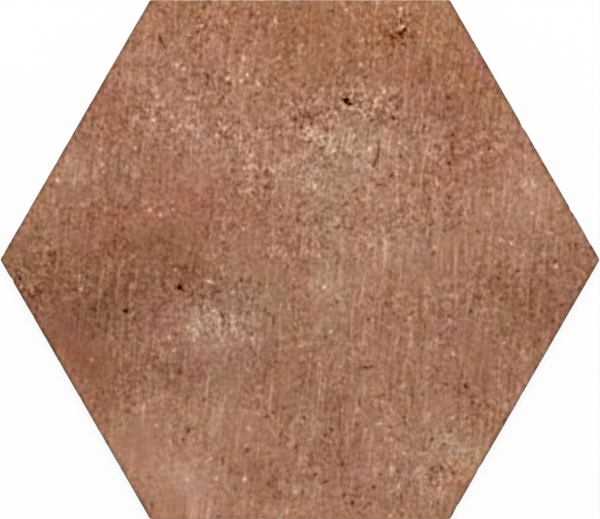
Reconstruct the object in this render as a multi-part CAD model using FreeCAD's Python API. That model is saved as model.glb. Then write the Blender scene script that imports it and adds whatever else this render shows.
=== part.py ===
import FreeCAD, Part
import math
import os

# Hexagonal cotto-look floor tile, pressed and fired as one piece.
#
# The tile is a regular hexagon lying face up, with two corners on the X axis and two straight sides
# parallel to it. The origin is the middle of the back, at the level that the tile beds down on, and +Z goes
# up through the face.
#
# The face is flat, with an eased arris all round. The sides rise straight from a bevel at the back's edge.
# The back carries the key: rings of shallow six-sided cells pressed into it, with drafted walls and blunted
# corners. The ribs left between the cells, and the plain rim outside them, are level and are what the tile
# rests on. Lengths are in millimetres.

# The body
SIDE_LENGTH = 125.0  # straight side of the hexagon, between its sharp corners
THICKNESS = 9.0  # back to face
CORNER_RADIUS = 1.2  # seen from above, where two sides meet
ARRIS_RADIUS = 0.8  # rounding between the face and the sides
BEVEL_INSET = 1.2  # how far the back's edge stands in from the sides
BEVEL_HEIGHT = 2.0  # how far up the sides the bevel runs

# The key on the back
CELL_PITCH = 17.4  # middle of one cell to the middle of the next
RIB_WIDTH = 2.6  # level top of the rib between two cells
KEY_DEPTH = 0.9  # level of the ribs to the floor of a cell
WALL_DRAFT = 40.0  # degrees that a cell's walls lean outwards from upright
CORNER_BLUNTING = 0.5  # how far the flat across a cell's corner stands in from the sharp corner
RIM_WIDTH = 8.0  # least plain width between the bevel and the cells

# How far the tool for a cell reaches below the back, so that it leaves no skin there
TOOL_REACH = 0.5

SIDES = 6
STEP_ANGLE = 2 * math.pi / SIDES
UP = FreeCAD.Vector(0, 0, 1)

# What follows from the sizes above
APOTHEM = SIDE_LENGTH * math.cos(STEP_ANGLE / 2)  # middle of the tile to the middle of a side
CELL_APOTHEM = (CELL_PITCH - RIB_WIDTH) / 2
CELL_CORNER_DISTANCE = CELL_APOTHEM / math.cos(STEP_ANGLE / 2) - CORNER_BLUNTING


def polar(radius, angle, z):
    """The point at that distance and angle round the Z axis, at height z."""
    return FreeCAD.Vector(radius * math.cos(angle), radius * math.sin(angle), z)


def rounded_hexagon(apothem, corner_radius, z):
    """A closed outline at height z of six sides joined by tangent arcs, with a corner on the X axis."""
    edges = []
    to_centre = (apothem - corner_radius) / math.cos(STEP_ANGLE / 2)
    for number in range(SIDES):
        corner = number * STEP_ANGLE
        centre = polar(to_centre, corner, z)
        start, middle, end = (
            centre + polar(corner_radius, corner + turn, 0)
            for turn in (-STEP_ANGLE / 2, 0, STEP_ANGLE / 2)
        )
        next_centre = polar(to_centre, corner + STEP_ANGLE, z)
        next_start = next_centre + polar(corner_radius, corner + STEP_ANGLE / 2, 0)
        edges.append(Part.Arc(start, middle, end).toShape())
        edges.append(Part.makeLine(end, next_start))
    return Part.Wire(edges)


def blunted_hexagon(apothem, corner_distance, z):
    """The points at height z of a hexagon with a flat across each corner, with a side facing along X."""
    half_side = (corner_distance - apothem * math.cos(STEP_ANGLE / 2)) / math.sin(STEP_ANGLE / 2)
    radius = math.hypot(apothem, half_side)
    half_angle = math.atan2(half_side, apothem)
    return [
        polar(radius, number * STEP_ANGLE + turn, z)
        for number in range(SIDES)
        for turn in (-half_angle, half_angle)
    ]


def drafted_block(lower, upper):
    """The solid between two level outlines, given as like lists of points, with flat walls."""
    outlines = [lower, upper]
    next_points = [points[1:] + points[:1] for points in outlines]
    for a, b, c, d in zip(lower, next_points[0], next_points[1], upper):
        outlines.append([a, b, c, d])
    faces = [Part.Face(Part.makePolygon(points + points[:1])) for points in outlines]
    return Part.makeSolid(Part.makeShell(faces))


def tile_blank():
    """The plain tile: the bevel at the back, the straight sides above it, and the eased arris."""
    back_outline = rounded_hexagon(APOTHEM - BEVEL_INSET, CORNER_RADIUS, 0)
    full_outline = rounded_hexagon(APOTHEM, CORNER_RADIUS, BEVEL_HEIGHT)
    bevelled_foot = Part.makeLoft([back_outline, full_outline], True, True)
    straight_sides = Part.Face(full_outline).extrude(UP * (THICKNESS - BEVEL_HEIGHT))
    blank = bevelled_foot.fuse(straight_sides).removeSplitter()
    face_edges = [edge for edge in blank.Edges if edge.BoundBox.ZMin > (THICKNESS + BEVEL_HEIGHT) / 2]
    return blank.makeFillet(ARRIS_RADIUS, face_edges)


def cell_tool():
    """The solid that presses one cell, centred on the Z axis: its walls draw in from mouth to floor."""
    outlines = []
    for z in (-TOOL_REACH, KEY_DEPTH):
        draw_in = z * math.tan(math.radians(WALL_DRAFT))
        outlines.append(blunted_hexagon(CELL_APOTHEM - draw_in, CELL_CORNER_DISTANCE - draw_in, z))
    return drafted_block(*outlines)


def ring_count():
    """How many rings of whole cells fit round the middle one, inside the plain rim."""
    room = APOTHEM - BEVEL_INSET - RIM_WIDTH
    cell_corner = CELL_APOTHEM / math.cos(STEP_ANGLE / 2)
    row_spacing = CELL_PITCH * math.cos(STEP_ANGLE / 2)
    return int((room - cell_corner) // row_spacing)


def cell_centres():
    """The middle of every cell: a honeycomb in the shape of the tile, its rows parallel to the sides."""
    rings = ring_count()
    along = polar(CELL_PITCH, 0, 0)
    across = polar(CELL_PITCH, STEP_ANGLE, 0)
    return [
        along * i + across * j
        for i in range(-rings, rings + 1)
        for j in range(-rings, rings + 1)
        if abs(i + j) <= rings
    ]


def hexagon_tile():
    """The finished tile: the blank with its key pressed into the back."""
    cell = cell_tool()
    return tile_blank().cut([cell.translated(centre) for centre in cell_centres()])


def main():
    os.makedirs("parts", exist_ok=True)
    hexagon_tile().exportStep("parts/tile.step")


main()
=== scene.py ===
import math

import bmesh
import bpy
import numpy as np
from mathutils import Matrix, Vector, geometry, noise


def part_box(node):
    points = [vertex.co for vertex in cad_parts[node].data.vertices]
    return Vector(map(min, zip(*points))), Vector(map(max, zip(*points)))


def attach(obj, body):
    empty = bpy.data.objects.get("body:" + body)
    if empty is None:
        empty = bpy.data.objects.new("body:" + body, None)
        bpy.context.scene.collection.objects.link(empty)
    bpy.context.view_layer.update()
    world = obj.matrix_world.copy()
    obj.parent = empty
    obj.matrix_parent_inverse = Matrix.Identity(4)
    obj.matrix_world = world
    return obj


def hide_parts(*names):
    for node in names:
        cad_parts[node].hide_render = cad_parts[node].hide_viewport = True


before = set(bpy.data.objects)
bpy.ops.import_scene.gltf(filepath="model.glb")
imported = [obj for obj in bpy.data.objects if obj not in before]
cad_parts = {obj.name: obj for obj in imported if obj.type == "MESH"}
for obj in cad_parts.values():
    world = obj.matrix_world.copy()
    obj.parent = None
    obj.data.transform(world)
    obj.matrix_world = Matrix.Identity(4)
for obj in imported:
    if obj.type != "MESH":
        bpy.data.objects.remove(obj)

# A cotto-look hexagon floor tile, lying face up on a white floor and seen from straight above.
#
# The tile is one closed mesh. Its face is a fine triangular lattice that carries the real relief: the slow
# hollows of a pressed face, its worn edge, pits, drag lines and a crack. The back repeats the key of the
# packed tile with softened edges.
#
# The face's colour is built in display steps, 0 to 255, as a lightness, a redness (red less green) and a
# yellowness (green less blue), and only then made linear. The clouds, the marks and the darker edge, which is
# painted shade along the rounded arris, reach the material as attributes of the mesh, and noise adds the
# grain and the streaks.
#
# Lengths are in millimetres until an object is made. Places are given across and up from the middle of the
# face. Each noise of the mesh has a layer number of its own, and so has each of the material.

MM = 0.001
SIDES = 6
STEP_ANGLE = 2 * math.pi / SIDES
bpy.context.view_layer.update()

# The tile's sizes, from the frame
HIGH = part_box("tile")[1]
THICKNESS = HIGH.z / MM
APOTHEM = HIGH.y / MM
SIDE_LENGTH = APOTHEM / math.cos(STEP_ANGLE / 2)
CORNER_RADIUS = (SIDE_LENGTH - HIGH.x / MM) / (1 / math.cos(STEP_ANGLE / 2) - 1)

# The tile's smaller sizes
ARRIS_RADIUS = 0.8
BEVEL_INSET = 1.2
BEVEL_HEIGHT = 2.0
CELL_PITCH = 17.4
RIB_WIDTH = 2.6
KEY_DEPTH = 0.9
WALL_DRAFT = math.radians(40)
CORNER_BLUNTING = 0.5
RIM_WIDTH = 8.0
SOFTENING = 0.35  # how far the rounding along a rib or round a cell's floor reaches
CELL_APOTHEM = (CELL_PITCH - RIB_WIDTH) / 2
CELL_CORNER = CELL_APOTHEM / math.cos(STEP_ANGLE / 2) - CORNER_BLUNTING  # how far it is to a blunted corner

# How finely the tile is meshed
FACE_STEPS = 127  # lattice steps along one side of the face
ARRIS_STEPS = 5
SIDE_STEPS = 4
FACE_LEVEL = (THICKNESS - 0.1) * MM  # what is higher than this belongs to the face before it is worn
REFINE_REACH = 0.3  # how much wider than a mark the finer mesh is
REFINE_LEVEL = 0.3  # how strongly so wide a mark shows where the finer mesh ends
DEEP_MARK = 50  # marks that change the lightness by more than this are meshed more finely again

# The darker strip along the face's edge, which is painted shade along the rounded arris, and a thin pale line
# beside it
EDGE_REACH = 1.9  # how far in from the sides the face is darkened
EDGE_FADE = 1.2  # how wide a part of that fades
PAINTED_EDGE_SHADE_DARKNESS = 22
PAINTED_EDGE_SHADE_REDNESS = -12
PAINTED_EDGE_SHADE_YELLOWNESS = -6
PAINTED_EDGE_SHADE_SHARES = (0.95, 0.0, 0.95, 1.15, 0.0, 1.05)  # the painted shade's share on the side that faces up and right, then leftwards
EDGE_NOISE = (8, 8, 0.5)  # cell width and height, and how much a noise of 1 adds to the share
PALE_LINE_SHARE = 0.17
PALE_LINE_GAP = 0.3
PALE_LINE_HALF_WIDTH = 0.6

# The wear of the arris and the sides
CHIP_LAYERS = (
    # Cell size, the level of noise where chips start, and the depth that a noise of 1 above it gives
    (3.5, 0.1, 0.22), (1.3, 0.0, 0.088),
)
CHIP_REACH = 1.2  # how far in from the sides the chips fade
CHIP_FADE = (3.0, 1.0)  # how far below the face the chips end, and where they are full
NICKS = (
    # Place, half width, half height, turn and depth
    (92.2, 55.2, 1.6, 1, -60, 0.6), (-84.5, 67, 1.2, 1, 0, 0.35), (-119.5, -8, 1.5, 1, 0, 0.3),
    (64.5, -102.5, 1.4, 1.2, 0, 0.4), (74.2, -87, 1.4, 1.2, 0, 0.3), (113, 20.7, 1.2, 1, 0, 0.3),
)
SIDE_WAVES = (9, 5, 0.04)  # cell width and height, and depth
WAVE_SLANT = (1, 0.3)  # the waves follow this slanting line round the sides
WAVE_FOOT = 0.5  # the height below which the sides have no waves

# The face's relief, from its highest level down
RELIEF_LAYERS = (
    # Cell width and height, and depth: hollows, furrows and roughness
    (42, 42, 0.18), (3, 50, 0.06), (2.4, 3.2, 0.03),
)
GRAIN_RELIEF = 0.0015  # mm for each display step of the grain
PIT_DEPTH = 0.0035  # mm for each display step of a pit
DRAG_DEPTH = 0.0012  # mm for each display step of a drag line

# The face's colour, in display steps
FACE_LIGHTNESS = 125.8
FACE_REDNESS = 47.6
FACE_YELLOWNESS = 24.4
PORE_LIGHTNESS = 12  # the darkest that the clay gets
CLOUD_GAIN = 1.1
MARK_GAIN = 1.4
CLOUD_WANDER = (
    # Cell size, and how far a noise of 1 shifts the clouds
    (13, 2.2), (6, 1.1),
)
# What a step of redness and of yellowness adds to each channel, beside the lightness
CHANNEL_SHARES = {"Red": (0.701, 0.114), "Green": (-0.299, 0.114), "Blue": (-0.299, -0.886)}
DISPLAY_STEPS = 255
DISPLAY_GAMMA = 2.2
# The noises of the face: cell width and height, and the steps that a noise of 1 adds
GRAIN_LAYERS = ((1.7, 2.0, 28.7), (3.4, 4.2, 13.5), (0.7, 0.8, 12))
MOTTLE = (6, 8, 2.5)
REDNESS_MOTTLE = (6, 8, 6)
YELLOWNESS_MOTTLE = (7, 8, 6)
# Those that only show above a level of noise: cell width and height, that level, and the steps
PITS_IN_GRAIN = (2.0, 2.2, 0.26, -42)
FLECKS_IN_GRAIN = (1.9, 2.4, 0.28, 52)
PALE_STREAKS = ((1.8, 20, 0.10, 34), (3.2, 34, 0.05, 12))
DARK_STREAKS = ((1.6, 16, 0.12, -20), (4.0, 32, 0.05, -8))
# Where the grain and the streaks are stronger: cell width and height, and how much a noise of 1 adds
GRAIN_MASK = (9, 11, 0.6)
STREAK_MASK = (24, 34, 0.7)
LEAST_SHARE = 0.2
STREAK_LEAN = math.radians(5.5)
STREAK_WANDER = (16, 24, 1.2)  # cell width and height, and the shift that a noise of 1 gives

# Where the face's colour ends on the arris
SKIN_LEVEL = 8.35  # height above the bed
SKIN_NOISE = (1.6, 1.6, 0.7)  # cell width and height, and how much a noise of 1 raises the colour's end
SKIN_LOSS = -2.5  # the same for each mm of chips
SKIN_SHARPNESS = 3.5  # for each mm of height

# The body's colour, in display steps
BODY_LIGHTNESS = 128
BODY_REDNESS = 40
BODY_YELLOWNESS = 24
BODY_GRAIN = ((0.7, 0.7, 10), (2.2, 2.2, 8), (11, 11, 10), (45, 45, 9))
BODY_REDNESS_MOTTLE = (14, 14, 5)
GROG_SIZE = 1.0
GROG_LEVEL = 0.36  # the level of noise where a grain of grog starts
GROG_LIGHTNESS = -120
DUST_NOISE = (9, 9, 1.1)
DUST_SHARE = 0.75  # on the bed
DUST_SLOPE = -1.6  # for each mm above the bed
DUST_TONES = (26, -18, -7)  # what full dust adds to the lightness, redness and yellowness

# The shine, which fades in dark pores
SHINE = 0.25
SHINE_RANGE = (30, 100)  # the lightness where the shine starts, and where it is full
ROUGHNESS = 0.82
ROUGHNESS_RELIEF = -1.5  # for each mm of grain
ROUGHNESS_NOISE = (20, 20, 0.08)

# The texture map, in shares of its width and height: sizes, and the middles of the face and the back
FACE_SHARE = 0.785
BACK_SHARE = 0.295
FACE_MIDDLE = (0.4, 0.345)
BACK_MIDDLE = (0.18, 0.845)
SIDES_START = (0.58, 0.72)  # the middle of the first side's strip, at its top
SIDES_SPACING = 0.046

# The studio
SKY_STRENGTH = 0.3
LAMP_POWER = 20.2
LAMP_SIZE = 1.2  # in metres
LAMP_PLACE = (0.0, 0.4, 1.6)  # in metres
FLOOR_LEVEL = -0.1
FLOOR_HALF_WIDTH = 3.0  # in metres
FLOOR_COLOUR = 0.8
SEEN_COLOUR = 0.17  # of the floor as the camera sees it, so that it keeps the tile's shadow
FLOOR_GLOW = 0.95  # what the camera sees besides, far from the lamp
NEAR_GLOW = -0.12  # what is taken from that where the lamp lights the floor most
SENSOR_WIDTH = 36.0
LENS = 100.0
NEAREST_SEEN = 0.01  # in metres
VIEW_WIDTH = 249.85  # what the picture shows at the face's level
VIEW_RISE = 0.06  # how far the camera stands above the tile's middle in the picture

# The clouds of the face: place across and up, half width, half height and turn in degrees, and what each adds
# to the lightness, redness and yellowness
CLOUDS = (
    # Ochre along the top side, and down the upper right side
    (0, 106, 95, 16, 0, -2, 3, 5), (70, 62, 9, 24, 20, -2, 0, 5), (0, 91, 14, 18, 0, -8, 1, 1),
    (38, 92, 8, 6, 0, -17, 0, 3), (-12, 72, 12, 10, 0, 1, 2, 3),
    # Rose and pale tan at the upper left
    (-40, 88, 22, 8, 5, 1, 5, -1), (-30, 92, 12, 7, 0, -1, 2, -2), (-69, 82, 12, 14, 20, 8, 0, 0),
    (-50, 60, 14, 10, -15, 12, 0, 0), (-24, 77, 8, 9, 0, 10, -1, 0), (-24, 57, 8, 8, 0, 8, -1, 0),
    (-96, 36, 12, 9, 30, 14, -1, 0), (-79, 64, 11, 12, 0, -10, 4, 0), (-26, 44, 28, 11, -6, 9, -1, -1),
    (-40, 71, 6, 6, 0, -5, 1, 0),
    # The red smear above the dark cloud
    (-46, 22, 30, 10, -8, -4, 8, -2), (-85, 15, 15, 12, 0, -9, 6, 2), (-58, 34, 10, 9, 0, -3, 3, -1),
    (-66, 40, 9, 10, 0, -2, -1, 0), (-97, 8, 10, 10, 0, 5, -1, 0),
    # The dark umber cloud from the left corner
    (-84, -10, 48, 17, 4, -21, -1, 0), (-62, 7, 22, 8, 6, -11, -1, 3), (-49, -8, 9, 8, 0, -10, 0, 2),
    (-78, -24, 20, 10, 0, -13, -2, -1), (-97, -28, 12, 10, -40, -9, 5, -3),
    (-90, -44, 18, 10, -40, -16, 3, 1), (-72, -44, 14, 9, 0, -12, -1, 1), (-53, -47, 14, 9, 0, -12, -1, -1),
    (-80, -60, 10, 8, -50, -9, 0, 1), (-112, 0, 14, 10, 0, -7, -1, 3),
    # Lilac, cream and olive beside it
    (-33, -27, 16, 11, 0, 19, -5, -5), (-44, -24, 7, 8, 0, 6, -6, 1), (-57, -27, 9, 10, 0, 3, 2, -5),
    (-24, -14, 14, 9, -20, -1, -5, 0), (-24, -38, 10, 7, 0, 2, 0, -4),
    # The chalk bloom and what trails down from it
    (24, 66, 4, 3, 0, 4, -6, 2), (22, 49, 17, 8, -6, 23, -9, 3), (0, 36, 11, 8, 20, 14, -6, 0),
    (14, 31, 9, 13, 0, 8, -8, 0), (42, 26, 9, 9, 0, 5, 1, 0), (13, 10, 8, 18, 0, 4, -6, 1),
    (11, -11, 8, 8, 0, 15, -5, 1), (14, -32, 9, 16, 0, 4, -5, 0), (40, 5, 12, 11, 0, 12, -4, 0),
    (31, 70, 12, 7, 0, 12, 1, 1), (22, 78, 9, 5, 0, -7, -1, -3), (30, 59, 9, 6, 0, -2, -5, 0),
    (24, -6, 10, 12, 0, 4, 0, -1),
    # Red, brown and pale patches down the right
    (56, 64, 12, 7, -6, -12, 8, -2), (50, 78, 9, 8, 0, -2, 4, -2), (77, 81, 8, 10, 25, -9, 8, -7),
    (80, 43, 22, 11, 20, 2, 5, -2), (62, 46, 7, 9, 0, -9, 3, 0), (65, 31, 13, 7, 0, 3, 2, 3),
    (95, 30, 11, 13, 20, 15, -1, 0), (114, 6, 12, 10, -20, -5, -1, 0), (100, -19, 18, 16, 0, -17, -1, 2),
    (84, -20, 11, 14, 0, -5, 0, 1), (103, -38, 9, 9, 0, 3, -1, 3), (62, -27, 9, 9, 0, -5, 1, -4),
    (72, -50, 8, 12, 10, -9, -1, 2), (78, -66, 6, 10, -20, -5, -2, 3), (66, -78, 12, 8, -15, 17, -6, 1),
    (69, -88, 8, 6, 0, 6, 3, 5), (53, -61, 9, 11, 0, 8, -1, 0), (56, -99, 12, 10, 0, 9, -3, 0),
    # Pale and brown patches along the bottom
    (-51, -88, 17, 12, 0, 19, -3, 0), (-80, -79, 12, 12, -30, 9, 0, 3), (-62, -60, 16, 8, 0, 9, 0, -2),
    (-31, -65, 15, 11, 0, 9, -1, 0), (-14, -92, 11, 10, 0, -8, 0, 1), (17, -84, 15, 12, 0, -8, 0, -1),
    (2, -62, 9, 9, 0, 3, -4, 0), (37, -73, 14, 8, 0, 7, 0, -1),
    # Smaller patches of the upper half
    (-91, 50, 4, 6, 0, 5, -1, 0), (68, 53, 6, 6, 0, -5, 2, 0), (-52, 93, 8, 5, 0, -7, 0, -2),
    (-88, 23, 7, 5, 0, -7, 0, -1), (45, 22, 6, 5, 0, -5, 0, -2), (58, 5, 8, 5, 0, -3, 1, 0),
    # Smaller patches of the lower half
    (8, -52, 4, 6, 0, -6, 4, 0), (0, -107, 62, 7, 0, 7, 1, 0), (-42, -5, 5, 4, 0, 5, 0, 2),
    (70, -72, 5, 6, 0, -5, 3, 0), (80, -54, 6, 4, -40, 0, 0, -3),
)
# Level patches that add to the lightness alone: place, half width, half height, and what they add
LIGHT_PATCHES = (
    # Paler, from the top down
    (39, 101, 6, 5, 11), (-43, 95, 4, 5, 5), (5, 72, 6, 8, 5), (23, 67, 5, 4, 6), (48, 66, 7, 7, 9),
    (60, 66, 4, 7, 5), (-4, 62, 6, 9, 13), (34, 60, 4, 3, 5), (-76, 59, 5, 5, 7), (-14, 56, 6, 4, 6),
    (-96, 52, 4, 4, 7), (5, 51, 8, 4, 15), (54, 50, 10, 8, 9), (80, 46, 4, 6, 6), (34, 45, 5, 4, 14),
    (14, 42, 5, 3, 5), (0, 36, 7, 4, 9), (70, 34, 6, 5, 5), (28, 33, 12, 9, 10), (-38, 30, 6, 5, 6),
    (-5, 20, 6, 6, 11), (39, 20, 3, 8, 8), (78, 18, 22, 11, 6), (27, 12, 8, 10, 7), (115, 9, 7, 4, 6),
    (103, 9, 6, 4, 5), (-72, 7, 7, 4, 5), (105, 6, 9, 7, 3), (-20, 0, 12, 10, 5), (103, -5, 6, 5, 5),
    (-25, -7, 5, 5, 6), (-74, -9, 4, 8, 10), (88, -12, 4, 7, 6), (48, -14, 4, 7, 6), (-88, -17, 7, 5, 8),
    (-12, -17, 5, 6, 9), (-77, -23, 6, 4, 11), (88, -26, 5, 8, 7), (95, -36, 6, 6, 7), (-50, -38, 8, 4, 5),
    (-1, -45, 4, 8, 6), (60, -46, 6, 4, 5), (15, -50, 4, 6, 8), (42, -50, 5, 4, 5), (45, -50, 5, 4, 5),
    (-78, -52, 5, 5, 5), (45, -54, 5, 4, 5), (74, -55, 4, 6, 11), (76, -66, 4, 5, 7), (-58, -72, 9, 6, 6),
    (9, -72, 6, 4, 6), (-16, -75, 9, 6, 5), (45, -77, 5, 4, 5), (50, -84, 8, 5, 9), (52, -87, 5, 5, 6),
    (32, -88, 9, 8, 8), (26, -88, 6, 4, 7), (2, -90, 10, 12, 6), (30, -91, 12, 5, 5),
    (-42, -98, 12, 10, 10), (-15, -104, 12, 3, 9),
    # Darker
    (27, 100, 5, 9, -5), (-52, 97, 5, 8, -4), (25, 88, 5, 9, -6), (60, 80, 6, 6, -5), (-20, 78, 6, 8, -5),
    (52, 74, 6, 6, -5), (25, 73, 4, 4, -7), (77, 66, 6, 6, -7), (56, 66, 5, 4, -4), (-60, 62, 7, 6, -6),
    (4, 60, 9, 6, -5), (-34, 58, 6, 6, -6), (27, 53, 5, 3, -6), (-54, 46, 9, 8, -7), (6, 44, 8, 6, -6),
    (-91, 44, 8, 8, -5), (25, 42, 5, 3, -5), (87, 37, 6, 8, -5), (10, 35, 5, 4, -5), (60, 24, 7, 9, -9),
    (-35, 15, 8, 6, -6), (0, 12, 6, 5, -6), (65, 5, 9, 4, -5), (34, 4, 6, 4, -7), (108, 0, 4, 4, -6),
    (107, -5, 4, 4, -5), (-20, -12, 6, 4, -6), (-85, -12, 6, 4, -4), (22, -15, 8, 5, -4),
    (-38, -19, 9, 4, -12), (-22, -27, 6, 6, -13), (-64, -28, 5, 6, -11), (95, -42, 5, 6, -4),
    (-12, -46, 16, 9, -7), (8, -50, 4, 6, -5), (52, -52, 4, 6, -5), (51, -55, 5, 7, -11),
    (14, -58, 9, 10, -8), (-38, -62, 8, 4, -5), (-7, -92, 7, 5, -6), (66, -95, 4, 5, -9),
)
# The same for the redness and yellowness
HUE_PATCHES = (
    # Redder, from the top down
    (50, 99, 14, 8, 3, 0), (-60, 98, 6, 8, 3, 0), (29, 91, 9, 8, 4, 0), (14, 84, 28, 14, 2, 4),
    (40, 78, 18, 4, 3, 0), (70, 73, 6, 10, 4, 0), (33, 66, 4, 4, 4, 0), (-71, 66, 5, 8, 3, 0),
    (28, 65, 4, 4, 4, 0), (12, 55, 5, 3, 4, 0), (38, 50, 5, 4, 4, 0), (-58, 48, 7, 6, 3, 0),
    (-8, 41, 11, 4, 3, 0), (-42, 36, 5, 4, 4, 0), (13, 35, 6, 4, 4, 1), (82, 33, 5, 4, 4, 0),
    (18, 20, 5, 7, 4, 0), (-72, 17, 10, 3, 4, 0), (-82, 3, 6, 6, 4, 0), (-50, -20, 10, 4, 3, 0),
    (15, -40, 6, 6, 4, 0), (-60, -84, 10, 6, 3, 0), (-30, -86, 9, 5, 3, 0), (-60, -105, 5, 4, 4, 0),
    # Less red
    (-48, 84, 13, 8, -4, 0), (36, 68, 5, 5, -4, 0), (58, 58, 9, 9, -4, 0), (10, 50, 5, 4, -3, 0),
    (28, 36, 5, 8, -4, 0), (70, 33, 7, 4, -4, 0), (-74, 28, 12, 8, -5, 0), (-25, 28, 4, 4, -4, 0),
    (-48, 28, 5, 6, -3, 0), (-94, 20, 9, 12, -4, 0), (-14, 14, 8, 12, -2, 0), (-85, -21, 7, 4, -4, 0),
    (-11, -22, 9, 14, -4, 1), (-42, -28, 5, 5, -4, 4), (-97, -31, 6, 7, -3, 3), (-31, -46, 10, 8, -5, -1),
    (55, -80, 6, 6, -4, 0), (73, -81, 4, 4, -7, 3), (4, -97, 6, 5, -3, 0),
    # Yellower
    (62, 93, 14, 14, 0, 5), (50, 82, 12, 7, 0, 4), (69, 77, 4, 4, 0, 7), (75, 70, 6, 7, 0, 6),
    (-85, 66, 4, 5, 0, 4), (38, 66, 6, 5, 0, 2), (85, 63, 5, 6, 0, 6), (-30, 60, 4, 4, 0, 4),
    (-2, 35, 8, 5, 0, 3), (-60, 34, 8, 4, 0, 3), (15, 27, 9, 5, 0, 5), (-108, 23, 5, 7, 0, 4),
    (-89, -4, 9, 6, 0, 3), (-108, -8, 6, 4, 0, 4), (-74, -19, 8, 5, 0, 3), (60, -22, 9, 4, 0, 4),
    (-85, -28, 6, 5, 0, 4), (84, -35, 5, 5, 0, 4), (-26, -46, 5, 12, 0, 2), (0, -62, 7, 5, 0, 3),
    (68, -80, 6, 6, 0, 3), (-57, -99, 7, 6, 0, 2), (22, -103, 7, 4, 0, 4),
    # Less yellow
    (-20, 90, 4, 7, 0, -4), (3, 68, 5, 5, 0, -4), (64, 64, 5, 5, 0, -8), (110, -12, 7, 7, 0, -6),
    (-19, -15, 8, 6, 0, -3), (-43, -39, 6, 5, 0, -3),
)

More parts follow.
